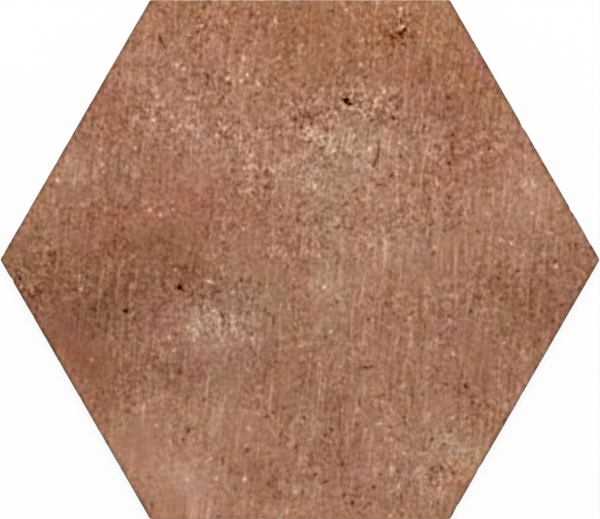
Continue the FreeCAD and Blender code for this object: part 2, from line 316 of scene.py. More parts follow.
# Single marks: place, half width, half height, turn, and what they add to the lightness. Dark ones are
# pits, and go into the face.
MARKS = (
    # The slanting double pore, and the black pits in the dark cloud
    (19.1, 66.5, 1.3, 0.85, -5, -118), (20.8, 64.8, 0.95, 0.75, -15, -112), (19.5, 65.4, 1, 0.6, -20, -40),
    (-50.2, -11.6, 0.9, 0.8, 0, -112), (-48.9, -12.7, 1, 0.5, -35, -40), (-72.7, -21.6, 0.9, 0.75, 0, -85),
    # The claw-shaped mark near the top side
    (43.9, 96.2, 0.6, 1.7, -27, -60), (42.6, 93.4, 1, 1.2, 0, -38), (40.4, 94.6, 2, 0.7, -43, -30),
    (38.3, 93.1, 0.9, 0.8, 0, -46), (36.6, 95, 0.7, 2, 20, -16), (40.8, 97.6, 0.9, 0.7, 0, -26),
    (42.4, 98.7, 0.8, 0.9, 0, -30), (46.1, 102.1, 1, 0.7, 0, -42), (41.9, 96.1, 0.9, 1.1, 0, 20),
    # The crack, which bends at its lower end
    (32.9, 47.5, 0.8, 2.6, 0, -38), (32.6, 43.9, 0.75, 2, -6, -30), (31.4, 40.8, 0.75, 2.1, -23, -34),
    (30.6, 39.2, 0.8, 0.6, 0, -26),
    # Other pits and scratches, from the top down
    (-58, 91.8, 0.6, 2.4, 24, -42), (-38.5, 76.5, 0.7, 1.6, 25, -42), (62, 67.5, 1.4, 1.2, 0, -24),
    (39.5, 67.5, 1.4, 1.2, 0, -22), (39, 59, 0.6, 1.6, 35, -44), (-1.3, 58.5, 3, 0.6, 28, -32),
    (34, 57, 1.8, 1.3, 0, -22), (62.4, 40.3, 1, 0.8, -15, -56), (37.8, 34.5, 0.5, 1.7, -27, -36),
    (33, 31.2, 1.2, 0.5, 0, -36), (-14.4, 30.2, 0.8, 0.6, 0, -49), (23, 28.8, 1.3, 0.5, 37, -36),
    (27.5, 17, 0.7, 1.1, 0, -30), (6.8, 16.4, 0.5, 1.3, 30, -40), (-31.8, 7, 1.2, 0.5, 0, -34),
    (90.7, -4.8, 1, 0.5, 0, -40), (-47.5, -5, 2.5, 4, 0, -14), (82.5, -7.5, 1.8, 0.5, -35, -38),
    (-34, -13.2, 1.6, 0.5, 0, -36), (23.6, -16.5, 0.7, 1.1, 0, -32), (-85, -19.5, 2.2, 2.8, 0, -16),
    (71.2, -21.3, 0.7, 1.2, 0, -44), (-32, -24, 0.6, 2, 30, -42), (-11, -25.5, 0.5, 2, 0, -36),
    (10.7, -32.3, 1, 0.9, 0, -36), (99.5, -33.5, 0.8, 1.4, 0, -32), (91.5, -37, 1.3, 0.8, 0, -16),
    (5, -38, 2.2, 0.6, 0, -26), (29, -44.7, 2.4, 0.8, 5, -34), (27.3, -44.8, 0.8, 0.6, 0, -24),
    (69, -52.8, 0.7, 1.3, 35, -52), (71, -57, 1.2, 1, 0, -22), (1.8, -66, 0.6, 0.8, 0, -44),
    (-45, -70.4, 1, 0.5, 10, -26), (12.8, -70.5, 0.6, 1.3, 30, -44), (-46.3, -71.3, 0.9, 1.2, 0, -47),
    (10.5, -73.3, 1, 0.7, 0, -32), (-48.5, -75, 1.1, 0.7, -10, -43), (58.6, -86.3, 0.7, 1.5, 12, -49),
    (55.2, -87, 0.6, 1.3, -20, -42), (6.5, -89.5, 1.1, 0.7, 30, -46), (-62.3, -90.7, 1.2, 0.5, 0, -26),
    (10.7, -92.5, 1.7, 0.8, 10, -44), (18.5, -98, 0.6, 1.4, -30, -38), (21.8, -101.5, 0.7, 1.3, 0, -51),
    (59, -104, 2.2, 2.5, 0, -12),
    # Pale flecks
    (-10.5, 100, 0.5, 1.3, 0, 36), (-46, 93.5, 1, 0.5, 0, 42), (28.3, 92.3, 1, 1.5, 0, 24),
    (-11.7, 82.4, 2.4, 0.5, 30, 22), (63, 77.3, 1.2, 1.2, 0, 22), (-17.5, 73.5, 0.5, 1.3, 30, 36),
    (35, 70.3, 0.8, 1.5, 0, 44), (22.3, 63.2, 0.8, 0.8, 0, 28), (19.6, 62.9, 1.5, 0.7, 0, 36),
    (27.3, 60.6, 1.8, 0.6, 15, 40), (30.2, 60.6, 1, 0.6, -25, 36), (16, 59, 0.5, 2, 0, 36),
    (3.3, 54.7, 1.1, 0.6, -20, 42), (-17, 54, 0.5, 1.6, 0, 38), (12, 52, 1, 0.9, 0, 30),
    (8.5, 50, 1.2, 1.2, 0, 30), (75.7, 44.3, 0.8, 0.8, 0, 32), (-18, 38, 2, 0.5, -45, 36),
    (-11.8, 37.5, 1.6, 0.5, -39, 36), (40.5, 35.5, 1.1, 0.5, 0, 36), (5.8, 31.2, 0.8, 3, 24, 36),
    (8.5, 27, 1, 1, 0, 24), (-8, 22.2, 0.5, 2.2, 40, 34), (87.7, 7, 0.5, 1.3, 30, 40),
    (-46.7, 6, 1.3, 2, 0, 14), (-37.5, -9.2, 2.4, 0.6, -16, 54), (-38.5, -22.8, 1, 0.8, 0, 30),
    (-42, -26.5, 1.2, 1.2, 0, 20), (-44, -29, 1.2, 4, 0, 12), (-67, -34.5, 1.7, 0.5, -34, 34),
    (24, -62.3, 1.2, 0.6, 30, 32), (38.8, -63, 1.8, 0.5, -38, 28), (33.5, -68.3, 1.4, 0.6, 0, 40),
    (12.5, -76, 1.5, 0.5, -45, 30), (-22.5, -77.5, 0.5, 1.3, -35, 32), (39.8, -77.5, 0.5, 1.2, 0, 36),
    (39.3, -82, 0.5, 1.5, 0, 36), (-38.7, -83.7, 1.2, 0.5, 20, 26), (38.3, -87.5, 1, 1.4, 0, 42),
    (49.8, -87.7, 1.6, 0.6, 28, 30), (52.5, -90.5, 1.1, 0.6, 0, 38), (-34.8, -91, 0.5, 1.1, 0, 36),
    (-47, -91.5, 0.9, 1.1, 0, 28), (41.3, -93.5, 0.6, 2, -5, 34), (58.2, -96, 0.5, 1.5, -20, 30),
    (-2, -96.5, 1.3, 1.1, 0, 40), (38.2, -96.5, 0.9, 1.1, 0, 30),
)

# The places of the small marks
DEEP_PITS = (
    (-38, 92), (27, 76), (50.5, 73.5), (4, 59.5), (-25.5, 57.5), (51.7, 55.3), (63.4, 52), (78.7, 46.3),
    (-13.7, 36.6), (-7.5, 18.2), (74, 11.7), (55.5, 2.5), (106, -0.8), (79, -9), (-16.8, -10.3),
    (109.2, -19), (-12.9, -22.6), (86.7, -28.5), (72, -59.5), (-71.7, -63.5), (-13.6, -65.5), (38, -70),
    (55, -74.9), (60, -77.2), (-22, -79.7), (40.8, -88.3), (-13.3, -93.3), (30.8, -94.7), (26, -106.3),
)
SHORT_SCRATCHES = (
    (-35, 98), (37, 83), (-30, 47.5), (-22.3, 24.5), (-36.8, 18), (-0.8, 16), (-39, 13), (-79.8, 2.5),
    (52, -27.5), (-86.2, -32), (24.8, -59.5), (-2, -78), (-32.2, -83.8), (17.5, -85), (41, -92),
    (-26.8, -95.3), (42.3, -99), (57.5, -101.5), (-61.7, -102.5),
)
BRIGHT_FLECKS = (
    (19.2, 104), (-23, 84), (-9, 84), (-48.5, 79.5), (-34.5, 52), (22.7, 51.5), (29, 46.2), (-82.5, 39.5),
    (26.5, 25), (-62.5, 20.5), (83.7, 8.2), (92.8, 2), (106.7, -2.8), (10.1, -11.8), (-36.5, -21.4),
    (-28.4, -26.2), (12.8, -30), (-59.8, -69), (-54, -75.7), (43, -80.5), (-37, -82.8), (-23, -91.5),
    (-2.3, -104.3),
)
SHALLOW_PITS = (
    (-59, 106), (-20, 102), (-23, 97), (-26.5, 86.5), (-39, 73), (-29.5, 73.5), (-22, 74), (-33, 65.5),
    (-19, 66), (-33, 58), (-34.5, 56), (-18, 55), (-33.5, 53), (-31, 53), (-52.5, 51.5), (-61, 56.5),
    (-56, 57), (5, 56.5), (-9.5, 56), (-82.5, 54.5), (-72, 57.5), (-69, 54.5), (-79.5, 45.5), (-63, 53.5),
    (-84, 51.5), (-73, 22), (-58.5, 29.5), (-98, 41), (-89.5, 52.5), (-11, 30), (-18, 34.5), (-23, 40),
    (-28, 37.4), (-32, 37.3), (-20, 48.3), (-8.5, 52), (-3.5, 49.5), (-6.5, 36), (1.7, 35.5), (1.7, 33.2),
    (4.7, 36), (-6.8, 23), (9.8, 20), (-7.9, 12.5), (-46, 2.5), (-5, -3), (-29, -3), (9.7, 5.7), (21, 61.5),
    (24.5, 61), (43.5, 102), (42, 106), (13.5, 103.5), (57.5, 95.5), (36.5, 75.5), (9, 72.5), (16.5, 72),
    (7.5, 60.5), (4.8, 56.8), (47.3, 58.8), (58, 60.5), (63.5, 46), (62.5, 43.5), (67, 43.2), (54, 64),
    (61.5, 63), (21, 82.5), (32, 62.5), (19.3, 51.5), (23, 53.5), (19.2, 44.4), (12, 42.2), (8.3, 46),
    (47, 51), (42, 43), (51.5, 36.5), (46.8, 31.4), (52.3, 31.7), (53, 27.5), (54.2, 25), (27, 30),
    (24, 25.2), (19, 23.2), (59.5, 21), (61, 18.3), (67, 18.5), (70, 20.5), (41.8, 15.2), (51.5, 12.7),
    (54.3, 10.4), (53.5, 7.8), (60, 12), (14.5, 13.5), (37.2, 11.5), (74.8, 47), (92.3, 47.5), (112, 6.2),
    (115, 6.2), (-94.2, -12.4), (-105.8, 7), (-102.4, 2), (-76.7, 10.3), (-77, 8), (-87.5, 15.2),
    (-52.7, 9.8), (-16.8, -14.2), (-22.2, -16), (-14.8, -21.2), (-36.3, -14.2), (-24.3, -8.5),
    (-49.8, -47.3), (-39.8, -58.3), (-34, -33.3), (-20, -31), (8, -11.5), (7.5, -32), (-24.5, -37.5),
    (-47, -57.5), (15.5, -17.7), (21.5, -33.8), (36, -18.3), (39.9, -18.5), (31.8, -24.2), (28.3, -25),
    (39, -22.3), (43.7, -25.3), (61.8, -23.7), (68, -18), (74.2, -16.3), (75.5, -15.2), (63, -40.8),
    (44.5, -39.5), (57.2, -46.3), (60.8, -52), (50.8, -56.2), (37, -58), (34.5, -56), (86.2, -11.6),
    (86.2, -16.5), (83.8, -16.5), (84, -28.5), (105.5, -26), (81, -34.5), (117.5, -8.7), (-68.8, -60.2),
    (-11, -63.7), (-6.8, -62), (-3.3, -65.7), (-7.5, -72.5), (-6, -74), (-20.3, -92), (-28.8, -87.8),
    (-25.8, -89.2), (-33.5, -107), (-26, -107), (24, -68.5), (43.5, -65.7), (43.5, -68), (1.3, -96.8),
    (22, -98), (29, -101.8), (24.5, -105), (33.5, -89.5), (62.5, -71.7), (69.7, -65.8), (75, -60.5),
    (67, -89.5), (54, -94), (42.8, -106.5), (45.5, -107),
)
FAINT_FLECKS = (
    (-51, 81), (-19, 90), (-24.5, 74.5), (-22, 77), (-21, 72), (-47, 67), (-59.5, 68), (-30, 75.5),
    (-17.5, 103), (-31, 99.5), (-50, 55.5), (-47, 55.5), (-61, 58), (-3.5, 84), (1, 89.5), (-83, 46),
    (-82, 36.5), (-72, 38.5), (-68.5, 46.5), (-97, 41), (-64, 24), (-53, 24), (-53, 21), (-58, 18.5),
    (-101, 33), (-23, 46.3), (-20.5, 43.5), (-23, 38), (-29.8, 8.3), (-35.8, 2), (-12, 2), (-5.9, 2.2),
    (-23.5, 12.8), (4.9, 19.5), (25.2, 81.3), (50, 94.6), (33.8, 64), (27, 68.3), (31, 95.7), (39, 103.5),
    (42.3, 104.5), (9, 89.5), (32.5, 107), (4, 51.8), (14, 45.5), (44, 46.5), (41.5, 48.8), (53.8, 44),
    (52.8, 54.5), (41.8, 12.5), (17.8, 4.5), (56, 5), (96.5, 19.5), (79.5, 45), (78, 19.5), (-69.3, 1.5),
    (-53.5, -1.5), (-52, -4), (-63.8, -4.5), (-91.8, -6.8), (-91.3, -12.3), (-54.5, -32), (-56.3, -25),
    (-46.5, -28.3), (-52.6, -38), (-86.8, -41.7), (-104.8, 4.5), (-32, -6.5), (-28.8, -23.5),
    (-33.8, -25.7), (-32.3, -33.7), (-34.8, -35.8), (-20, -33), (0.3, -36), (-22, -45.8), (-28.5, -55),
    (-16.8, -53), (14.7, -45), (37, -28.2), (45.5, -24.3), (53, -45), (64, -39.2), (85, -34.8),
    (96.5, -21.5), (-21.5, -70.3), (1.5, -88.5), (53.8, -64.5), (63.5, -66),
)
# Their kinds: half width, half height, what a mark adds to the lightness, and the places
SMALL_MARKS = (
    (0.85, 0.8, -36, DEEP_PITS),
    (0.5, 1.3, -31, SHORT_SCRATCHES),
    (0.85, 0.85, 44, BRIGHT_FLECKS),
    (0.75, 0.75, -27, SHALLOW_PITS),
    (0.75, 0.75, 36, FAINT_FLECKS),
)
# How much a noise of 1 changes a small mark: its size and lightness as shares, and its turn in degrees
SMALL_MARK_NOISE = 4.7  # cell size
SIZE_VARIETY = 0.5
LIGHTNESS_VARIETY = 0.4
UPRIGHT_TURN = 30
ROUND_TURN = 90

# Lines that the press dragged down the face: the middle, half the length, turn, and what they add to the
# lightness
DRAG_HALF_WIDTH = 0.5
DRAG_LINES = (
    (-78.6, -28, 8, 0, 18), (-70.8, -14, 7, 0, 20), (-92.2, -5, 9, 0, 14), (-60.8, -35, 6, 0, 18),
    (-101, 33, 2, 0, 20), (-72, 38.5, 2, 0, 20), (-68.5, 46.5, 2, 0, 20), (-23.8, 82, 7, 0, 16),
    (-35, 52, 8, 0, 16), (-45.9, 64, 8, 0, 16), (-60.3, 90, 8, 0, 14), (-60.1, 62, 7, 0, 16),
    (-27, -23, 7, 0, 16), (-11, 7, 6, 0, 18), (-1.5, -14, 7, 0, 18), (1.2, 9, 9, -4, 20),
    (5, -11, 7, 0, 18), (7.5, -48, 7, -6, 16), (8.7, -48, 7, -6, 14), (22, -40, 7, -8, 18),
    (25.8, -13, 5, -4, 18), (26.8, -56, 5, -8, 16), (29.2, 51, 9, 0, 12), (35.3, 7, 4, 0, 20),
    (41.6, 4, 5, 0, 20), (46, 40, 4, 0, 20), (46.2, -31, 4, 0, 22), (53, 13, 4, 0, 20),
    (55.6, 20, 22, 0, 10), (56.5, 40, 6, 0, 18), (55.8, 92, 10, 0, 14), (64.9, -7, 18, 0, 22),
    (80.5, 27, 4, 0, 20), (82, 38, 4, 0, 18), (88, 42, 6, 0, 20), (94, 31, 4, 0, 18), (94, 8, 5, 0, 18),
    (96.5, 26, 9, 0, 20), (98, 28, 4, 0, 18), (102.1, 4, 10, -6, 16), (8, -83, 4, 0, 18),
    (10.3, -97, 4, 0, 18), (1, -67, 2, 0, 24), (-77, -7, 3, 0, -20), (-80.5, -24, 7, 0, -14),
    (-61.7, -32, 4, 0, -20), (-72.6, -14, 7, 0, -12), (-89, -32, 8, 0, -16), (-0.4, 19, 10, 0, -14),
    (63.3, -10, 12, 0, -14), (108.5, -2.5, 3, 0, -26), (16.6, -66.5, 6, 0, -28), (65.8, -56, 7, 0, -16),
    (45.8, 62, 9, 0, -12), (51.7, 68, 6, 0, -14), (-43.4, 58, 5, 0, -14), (-62.6, 66, 6, 0, -14),
)

# Where the grain is stronger or weaker: place, half width, half height, and the change as a share
GRAIN_PATCHES = (
    # Broadly stronger in the upper half, and weaker in the lower
    (0, 60, 90, 40, 0.12), (0, -60, 90, 40, -0.12),
    # Stronger, from the top down
    (-58, 104, 10, 4, 0.4), (-38, 101, 16, 5, 0.4), (12, 98, 8, 6, 0.3), (43, 97, 8, 8, 0.9),
    (-55, 92, 8, 8, 0.3), (-38, 86, 4, 4, 0.5), (-22, 84, 7, 9, 0.35), (-57, 78, 5, 6, 0.7),
    (35, 68, 7, 8, 0.7), (18, 68, 9, 8, 0.7), (80, 68, 5, 8, 0.5), (20, 62, 14, 6, 0.5),
    (-60, 62, 10, 12, 0.35), (28, 60, 6, 5, 0.6), (55, 58, 14, 10, 0.25), (42, 57, 6, 5, 0.5),
    (5, 55, 9, 10, 0.6), (-12, 54, 18, 4, 0.6), (-33, 53, 5, 5, 0.4), (14, 45, 9, 7, 0.7),
    (64, 44, 7, 8, 0.35), (3, 35, 6, 8, 0.3), (-12, 31, 8, 5, 0.5), (25, 27, 6, 6, 0.4),
    (40, 12, 5, 8, 0.6), (25, 12, 6, 8, 0.4), (15, 10, 8, 6, 0.3), (-75, 7, 6, 5, 1.1), (0, 2, 5, 4, 0.4),
    (-115, -8, 6, 8, 1), (-27, -11, 6, 4, 0.5), (-50, -12, 5, 5, 0.4), (77, -18, 5, 8, 0.4),
    (-31, -24, 10, 10, 0.5), (17, -42, 6, 7, 0.4), (20, -45, 5, 4, 0.4), (-68, -52, 6, 4, 0.4),
    (-50, -52, 7, 5, 0.4), (36, -57, 5, 4, 0.5), (-71, -58, 8, 8, 0.25), (72, -70, 9, 6, 0.5),
    (55, -85, 8, 8, 0.5), (60, -88, 5, 6, 0.4),
    # Weaker
    (5, 92, 8, 14, -0.4), (57, 82, 5, 7, -0.5), (18, 80, 4, 5, -0.4), (71, 77, 4, 4, -0.8),
    (57, 67, 6, 4, -0.5), (52, 50, 5, 6, -0.4), (30, 46, 5, 5, -0.5), (-13, 43, 7, 4, -0.4),
    (-55, 38, 14, 10, -0.4), (48, 33, 5, 5, -0.5), (-95, 30, 9, 9, -0.4), (85, 20, 14, 14, -0.15),
    (58, 11, 6, 8, -0.4), (-65, 10, 18, 7, -0.45), (-92, 10, 14, 7, -0.3), (63, 3, 4, 5, -0.7),
    (45, 0, 8, 8, -0.3), (-14, -5, 9, 5, -0.7), (22, -6, 12, 6, -0.4), (-8, -17, 4, 4, -0.5),
    (105, -18, 5, 5, -0.6), (-98, -35, 14, 16, -0.55), (-85, -40, 10, 10, -0.3), (75, -42, 8, 8, -0.3),
    (20, -45, 14, 8, -0.25), (-20, -47, 20, 8, -0.25), (77, -52, 5, 8, -0.5), (23, -58, 5, 4, -0.5),
    (55, -62, 8, 8, -0.35), (-38, -65, 5, 6, -0.5), (-25, -75, 10, 14, -0.3), (-68, -77, 14, 10, -0.6),
    (-50, -100, 20, 12, -0.6),
)
# The same for the streaks
STREAK_PATCHES = (
    # Stronger
    (30, 50, 30, 28, 0.3), (95, 25, 16, 24, 0.35), (-70, -40, 14, 14, 0.3), (38, -20, 20, 18, 0.3),
    (52, 80, 9, 18, 0.3), (-75, -15, 10, 12, 0.3), (20, -60, 20, 12, 0.2),
    # Weaker
    (-62, -80, 26, 20, -0.5), (-40, 25, 22, 22, -0.3), (12, 90, 13, 14, -0.6), (66, -70, 12, 14, -0.4),
    (-55, 40, 14, 10, -0.2),
)


def unit(angle):
    """The flat unit vector at this angle from the X axis."""
    return np.array((math.cos(angle), math.sin(angle)))


def leftwards(vector):
    """The flat vector turned left by a quarter."""
    return np.array((-vector[1], vector[0]))


# The unit vectors square to the six sides
FACINGS = np.array([unit(STEP_ANGLE * (side + 0.5)) for side in range(SIDES)])


def lattice():
    """A hexagon's lattice points, 1 from middle to corner, their triangles, and the ring round the edge."""
    steps = FACE_STEPS
    across, up = np.meshgrid(np.arange(-steps, steps + 1), np.arange(-steps, steps + 1), indexing="ij")
    inside = abs(across + up) <= steps
    number = np.full(across.shape, -1)
    number[inside] = np.arange(inside.sum())
    points = (across[inside][:, None] * unit(0) + up[inside][:, None] * unit(STEP_ANGLE)) / steps

    here, right = number[:-1, :-1], number[1:, :-1]
    above, beyond = number[:-1, 1:], number[1:, 1:]
    lower = np.stack((here, right, above), -1).reshape(-1, 3)
    upper = np.stack((right, beyond, above), -1).reshape(-1, 3)
    triangles = np.concatenate((lower, upper))
    triangles = triangles[(triangles >= 0).all(1)]

    ring = np.flatnonzero(np.abs((across, up, across + up)).max(0)[inside] == steps)
    angle = np.arctan2(points[ring, 1], points[ring, 0]) % (2 * math.pi)
    return points, triangles, ring[np.argsort(angle)]


def outline(inset, radius):
    """The outline drawn in by an inset, with rounded corners: one point for each point of the ring."""
    apothem = APOTHEM - inset
    half_straight = (apothem - radius) * math.tan(STEP_ANGLE / 2)
    tip = (apothem - radius) / math.cos(STEP_ANGLE / 2) + radius
    places = []
    for side, face in enumerate(FACINGS):
        places.append(tip * unit(STEP_ANGLE * side))
        for share in np.linspace(-1, 1, FACE_STEPS - 1):
            places.append(apothem * face + share * half_straight * leftwards(face))
    return np.array(places)


def edge_profile():
    """The inset from the sides, corner radius and height of each ring between the face and the back."""
    profile = []
    for step in range(ARRIS_STEPS + 1):
        turn = math.pi / 2 * step / ARRIS_STEPS
        inset = ARRIS_RADIUS * (1 - math.sin(turn))
        profile.append((inset, CORNER_RADIUS - inset, THICKNESS - ARRIS_RADIUS * (1 - math.cos(turn))))
    top = THICKNESS - ARRIS_RADIUS
    for step in range(1, SIDE_STEPS + 1):
        profile.append((0.0, CORNER_RADIUS, top + (BEVEL_HEIGHT + SOFTENING - top) * step / SIDE_STEPS))
    slope = BEVEL_INSET / BEVEL_HEIGHT
    profile.append((slope * SOFTENING, CORNER_RADIUS, BEVEL_HEIGHT - SOFTENING))
    profile.append((BEVEL_INSET - slope * SOFTENING, CORNER_RADIUS, SOFTENING))
    profile.append((BEVEL_INSET + SOFTENING, CORNER_RADIUS, 0.0))
    return profile


def cell_centres():
    """The middles of the key's cells, in rows that run parallel to the tile's sides."""
    row_spacing = CELL_PITCH * math.cos(STEP_ANGLE / 2)
    room = APOTHEM - BEVEL_INSET - RIM_WIDTH
    rings = int((room - CELL_CORNER) // row_spacing)
    for row in range(-rings, rings + 1):
        count = 2 * rings + 1 - abs(row)
        for place in range(count):
            yield np.array(((place - (count - 1) / 2) * CELL_PITCH, row * row_spacing))


def softened(start, corner, end):
    """Three points on the curve that rounds a corner of a profile."""
    return [
        tuple(
            (1 - share) ** 2 * a + 2 * share * (1 - share) * b + share ** 2 * c
            for a, b, c in zip(start, corner, end)
        )
        for share in (0, 0.5, 1)
    ]


def cell_profile():
    """How far in each loop of a cell's wall is from the rib's sharp edge, and its height above the bed."""
    lean = (math.sin(WALL_DRAFT) * SOFTENING, math.cos(WALL_DRAFT) * SOFTENING)
    foot = (KEY_DEPTH * math.tan(WALL_DRAFT), KEY_DEPTH)
    before_foot = (foot[0] - lean[0], foot[1] - lean[1])
    after_foot = (foot[0] + SOFTENING, foot[1])
    return softened((-SOFTENING, 0.0), (0.0, 0.0), lean) + softened(before_foot, foot, after_foot)


def cell_loop(centre, inset):
    """One loop of a cell: a hexagon with a side facing along X, and its corners blunted."""
    apothem = CELL_APOTHEM - inset
    half_side = (CELL_CORNER - inset - apothem * math.cos(STEP_ANGLE / 2)) / math.sin(STEP_ANGLE / 2)
    return [
        centre + apothem * unit(STEP_ANGLE * side) + end * leftwards(unit(STEP_ANGLE * side))
        for side in range(SIDES)
        for end in (-half_side, half_side)
    ]


class Shell:
    """The points and faces of the tile as they are gathered."""

    def __init__(self):
        self.points = []
        self.faces = []

    def add(self, flat_points, height):
        """Adds points at a height and says which numbers they have."""
        first = len(self.points)
        self.points += [(x, y, height) for x, y in flat_points]
        return np.arange(first, len(self.points))

    def band(self, ring, next_ring):
        """Joins two rings of as many points by quads."""
        ahead, next_ahead = np.roll(ring, -1), np.roll(next_ring, -1)
        self.faces += np.stack((ring, next_ring, next_ahead, ahead), -1).tolist()


def build_face(shell):
    """The walking face, whose edge is the first ring of the profile."""
    points, triangles, ring = lattice()
    points = points * (SIDE_LENGTH - ARRIS_RADIUS / math.cos(STEP_ANGLE / 2))
    inset, radius, height = edge_profile()[0]
    points[ring] = outline(inset, radius)
    numbers = shell.add(points, height)
    shell.faces += numbers[triangles].tolist()
    return numbers[ring]


def build_edge(shell, ring):
    """The arris, the sides and the bevel at the back's edge."""
    for inset, radius, height in edge_profile()[1:]:
        lower = shell.add(outline(inset, radius), height)
        shell.band(ring, lower)
        ring = lower
    return ring


def build_back(shell, ring):
    """The bed: the rim and ribs as one sheet with a hole for each cell, and the cells' walls and floors."""
    sheet = [shell.points[number][:2] for number in ring]
    numbers = list(ring)
    loops = [list(range(len(sheet)))]
    (mouth_inset, mouth_height), *walls = cell_profile()
    for centre in cell_centres():
        loop = shell.add(cell_loop(centre, mouth_inset), mouth_height)
        loops.append(list(range(len(sheet), len(sheet) + len(loop))))
        sheet += [shell.points[number][:2] for number in loop]
        numbers += list(loop)
        for inset, height in walls:
            deeper = shell.add(cell_loop(centre, inset), height)
            shell.band(loop, deeper)
            loop = deeper
        middle = shell.add([centre], KEY_DEPTH)[0]
        shell.faces += [[middle, after, before] for before, after in zip(loop, np.roll(loop, -1))]
    edges = [(a, b) for loop in loops for a, b in zip(loop, loop[1:] + loop[:1])]
    places = [Vector(place) for place in sheet]
    leave_holes, tolerance = 2, 1e-6
    filled = geometry.delaunay_2d_cdt(places, edges, loops[:1], leave_holes, tolerance)
    _, _, triangles, sources, *_ = filled
    for triangle in triangles:
        shell.faces.append([numbers[sources[corner][0]] for corner in reversed(triangle)])


def linked(name, data):
    """A new object in the scene."""
    thing = bpy.data.objects.new(name, data)
    bpy.context.scene.collection.objects.link(thing)
    return thing


def make_tile():
    """The tile before it is worn, as one closed mesh."""
    shell = Shell()
    ring = build_face(shell)
    ring = build_edge(shell, ring)
    build_back(shell, ring)
    mesh = bpy.data.meshes.new("hexagon_tile")
    mesh.from_pydata([(x * MM, y * MM, z * MM) for x, y, z in shell.points], [], shell.faces)
    mesh.validate()
    return linked("hexagon_tile", mesh)


def ellipse(points, x, y, half_width, half_height, turn=0):
    """How strongly a patch shows: wholly in its middle, and by a third at its half width or height."""
    turn = math.radians(turn)
    across, up = points[:, 0] - x, points[:, 1] - y
    along = (across * math.cos(turn) + up * math.sin(turn)) / half_width
    aside = (up * math.cos(turn) - across * math.sin(turn)) / half_height
    return np.exp(-(along ** 2 + aside ** 2))


def refine(tile, marks):
    """Divides the face's triangles near the marks, so that their relief is real."""
    bm = bmesh.new()
    bm.from_mesh(tile.data)
    edges = [edge for edge in bm.edges if min(v.co.z for v in edge.verts) > FACE_LEVEL]
    middles = np.array([[v.co[:2] for v in edge.verts] for edge in edges]).mean(1) / MM
    near = np.zeros(len(edges), bool)
    for x, y, half_width, half_height, turn, _ in marks:
        shown = ellipse(middles, x, y, half_width + REFINE_REACH, half_height + REFINE_REACH, turn)
        near |= shown > REFINE_LEVEL
    chosen = [edge for edge, is_near in zip(edges, near) if is_near]
    bmesh.ops.subdivide_edges(bm, edges=chosen, cuts=1, use_grid_fill=True)
    bmesh.ops.triangulate(bm, faces=[face for face in bm.faces if len(face.verts) > 4])
    bm.to_mesh(tile.data)
    bm.free()


def noise_at(points, cell_width, cell_height, layer):
    """Smooth noise, about -1 to 1, at flat points. Its cells have this width and height."""
    scaled = points / (cell_width, cell_height)
    return np.array([noise.noise((x, y, layer)) for x, y in scaled])


def small_marks(half_width, half_height, lightness, places):
    """Marks of about this size at these places, each a little different."""
    flat = np.array(places, float)
    cell = SMALL_MARK_NOISE
    wider, higher, turn, stronger = (noise_at(flat, cell, cell, layer) for layer in (41, 42, 43, 44))
    most_turn = UPRIGHT_TURN if half_height > half_width else ROUND_TURN
    kinds = np.stack((
        half_width * (1 + SIZE_VARIETY * wider),
        half_height * (1 + SIZE_VARIETY * higher),
        most_turn * turn,
        lightness * (1 + LIGHTNESS_VARIETY * stronger),
    ), -1)
    return np.concatenate((flat, kinds), -1).tolist()


def all_marks():
    """Every single mark of the face in the same form, and the drag lines."""
    spots = sum((small_marks(*kind) for kind in SMALL_MARKS), list(MARKS))
    spots = [(*place, lightness * MARK_GAIN) for *place, lightness in spots]
    lines = [(x, y, DRAG_HALF_WIDTH, reach, turn, lightness) for x, y, reach, turn, lightness in DRAG_LINES]
    return spots, lines


def sides_of(flat):
    """How far flat points stand in from the nearest side, and which side that is."""
    reach = np.array([flat @ facing for facing in FACINGS])
    return APOTHEM - reach.max(0), reach.argmax(0)


def tones(flat, marks):
    """What the clouds and marks add to the lightness, redness and yellowness at each point."""
    strayed = flat.copy()
    for layer, (cell, shift) in zip((11, 13), CLOUD_WANDER):
        strayed += shift * np.stack([noise_at(flat, cell, cell, layer + axis) for axis in range(2)], -1)
    clouds = list(CLOUDS)
    clouds += [(*place, 0, lightness, 0, 0) for *place, lightness in LIGHT_PATCHES]
    clouds += [(*place, 0, 0, redness, yellowness) for *place, redness, yellowness in HUE_PATCHES]
    found = np.zeros((len(flat), 3))
    for x, y, half_width, half_height, turn, *amounts in clouds:
        found += ellipse(strayed, x, y, half_width, half_height, turn)[:, None] * amounts
    found *= CLOUD_GAIN
    for *place, lightness in marks:
        found[:, 0] += ellipse(flat, *place) * lightness
    return found


def shares_of(flat, patches):
    """How strong something is at each point, where 1 is usual."""
    return 1 + sum(ellipse(flat, *place) * share for *place, share in patches)


def painted_edge_shade_of(flat):
    """How strongly painted shade darkens the face along its edge: a side's whole share at the side, and none
    past the reach.
    """
    inset, side = sides_of(flat)
    width, height, change = EDGE_NOISE
    share = np.array(PAINTED_EDGE_SHADE_SHARES)[side] * (1 + change * noise_at(flat, width, height, 35))
    strip = np.clip((EDGE_REACH - inset) / EDGE_FADE, 0, 1)
    line = np.exp(-((inset - EDGE_REACH - PALE_LINE_GAP) / PALE_LINE_HALF_WIDTH) ** 2)
    return share * (strip - PALE_LINE_SHARE * line)


def depth_of(flat, spots, lines):
    """How deep the face lies below its highest level at each point."""
    depth = np.zeros(len(flat))
    for layer, (width, height, most) in enumerate(RELIEF_LAYERS, 21):
        depth += most * (1 + noise_at(flat, width, height, layer)) / 2
    for *place, lightness in spots:
        if lightness < 0:
            depth -= ellipse(flat, *place) * lightness * PIT_DEPTH
    for *place, lightness in lines:
        depth += ellipse(flat, *place) * abs(lightness) * DRAG_DEPTH
    return depth - depth.min()


